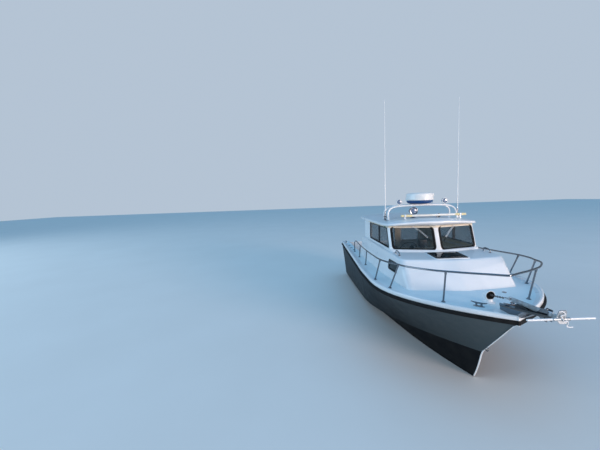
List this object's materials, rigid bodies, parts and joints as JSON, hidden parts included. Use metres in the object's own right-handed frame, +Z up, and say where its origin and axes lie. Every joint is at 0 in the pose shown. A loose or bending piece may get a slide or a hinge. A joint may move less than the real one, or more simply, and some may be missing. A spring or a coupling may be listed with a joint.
{
  "type": "outboard pilothouse fishing boat",
  "caption": "Pilothouse fishing boat with a low trunk cabin, open aft cockpit, bow rail, radar on a tube arch, whip aerials and an outboard engine on a bracket.",
  "frame": {"origin": "on the centreline at the waterline, half-way along the hull", "axes": "+X forward to the bow, +Y to port, +Z up"},
  "size_m": [9.9419, 3.138, 6.405],
  "materials": {
    "topsides": "gloss grey gelcoat, dark bottom paint",
    "gelcoat": "satin white gelcoat",
    "rubber": "black rubber",
    "stainless": "polished stainless",
    "glass": "tinted safety glass",
    "radar_blue": "blue plastic",
    "cream": "cream paint",
    "whip": "white glass fibre",
    "black": "black plastic",
    "galvanised": "dull galvanised steel",
    "vinyl": "grey-white vinyl",
    "engine": "grey metallic paint",
    "interior": "beige liner"
  },
  "bodies": {
    "boat": {"hull": "topsides", "deck": "gelcoat", "rub_rail": "rubber", "trunk_cabin": "gelcoat", "trunk_portlight_port": "glass", "trunk_portlight_stbd": "glass", "windshield_frame": "gelcoat", "windshield_glass_port": "glass", "windshield_glass_stbd": "glass", "cabin_side_port": "gelcoat", "cabin_side_stbd": "gelcoat", "side_glass_port": "glass", "side_glass_stbd": "glass", "aft_bulkhead": "gelcoat", "bulkhead_glass": "glass", "cabin_roof": "gelcoat", "bow_rail": "stainless", "trunk_grab_rail_port": "stainless", "trunk_grab_rail_stbd": "stainless", "radar_arch": "gelcoat", "radar_base": "radar_blue", "radar_dome": "gelcoat", "deck_light_port": "gelcoat", "deck_light_stbd": "gelcoat", "search_light": "stainless", "roof_light_bar": "cream", "whip_mount_port": "stainless", "whip_mount_stbd": "stainless", "wiper_port": "black", "wiper_stbd": "black", "dash_console": "interior", "chart_plotter": "black", "helm_seat_post": "stainless", "helm_seat_cushion": "vinyl", "mate_seat_post": "stainless", "mate_seat_cushion": "vinyl", "bow_roller": "stainless", "anchor_shank": "galvanised", "anchor_flukes": "galvanised", "chain_pipe": "gelcoat", "anchor_chain": "galvanised", "bow_cleat_port": "stainless", "bow_cleat_stbd": "stainless", "stern_cleat_port": "stainless", "stern_cleat_stbd": "stainless", "motor_bracket": "gelcoat", "motor_clamp": "engine"},
    "hatch": {"hatch_lid": "glass"},
    "fish_lid": {"fish_box_lid": "gelcoat"},
    "door": {"cabin_door": "gelcoat", "door_glass": "glass"},
    "whip_port": {"whip_aerial_port": "whip"},
    "whip_stbd": {"whip_aerial_stbd": "whip"},
    "wheel": {"steering_wheel": "black"},
    "swivel": {"motor_swivel": "engine"},
    "motor": {"motor_leg": "engine", "motor_cowl": "engine"},
    "prop": {"propeller": "stainless"}
  },
  "joints": [
    {"name": "hatch_hinge", "type": "hinge", "parent": "boat", "child": "hatch", "pos_m": [2.25506, 0, 1.97577], "axis": [0, 1, 0], "range_deg": [0, 75]},
    {"name": "fish_lid_hinge", "type": "hinge", "parent": "boat", "child": "fish_lid", "pos_m": [-2.32, 0, 0.4085], "axis": [0, 1, 0], "range_deg": [0, 95]},
    {"name": "door_hinge", "type": "hinge", "parent": "boat", "child": "door", "pos_m": [-1.0145, 0.764, 1.5], "axis": [0, 0, -1], "range_deg": [0, 100]},
    {"name": "whip_fold_port", "type": "hinge", "parent": "boat", "child": "whip_port", "pos_m": [0.8, 0.885, 2.735], "axis": [0, -1, 0], "range_deg": [0, 90]},
    {"name": "whip_fold_stbd", "type": "hinge", "parent": "boat", "child": "whip_stbd", "pos_m": [0.8, -0.885, 2.735], "axis": [0, -1, 0], "range_deg": [0, 90]},
    {"name": "wheel_turn", "type": "hinge", "parent": "boat", "child": "wheel", "pos_m": [0.845, -0.34, 1.93], "axis": [-0.8601, 0, 0.5101], "range_deg": [-756, 756]},
    {"name": "motor_tilt", "type": "hinge", "parent": "boat", "child": "swivel", "pos_m": [-4.79, 0, 0.42], "axis": [0, 1, 0], "range_deg": [0, 62]},
    {"name": "motor_steer", "type": "hinge", "parent": "swivel", "child": "motor", "pos_m": [-4.872, 0, 0.3], "axis": [0, 0, 1], "range_deg": [-30, 30]},
    {"name": "prop_spin", "type": "hinge", "parent": "motor", "child": "prop", "pos_m": [-5.28, 0, -0.65], "axis": [1, 0, 0], "continuous": true}
  ],
  "couplings": [
    {"joint": "wheel_turn", "follows": "motor_steer", "ratio": -25.2}
  ]
}
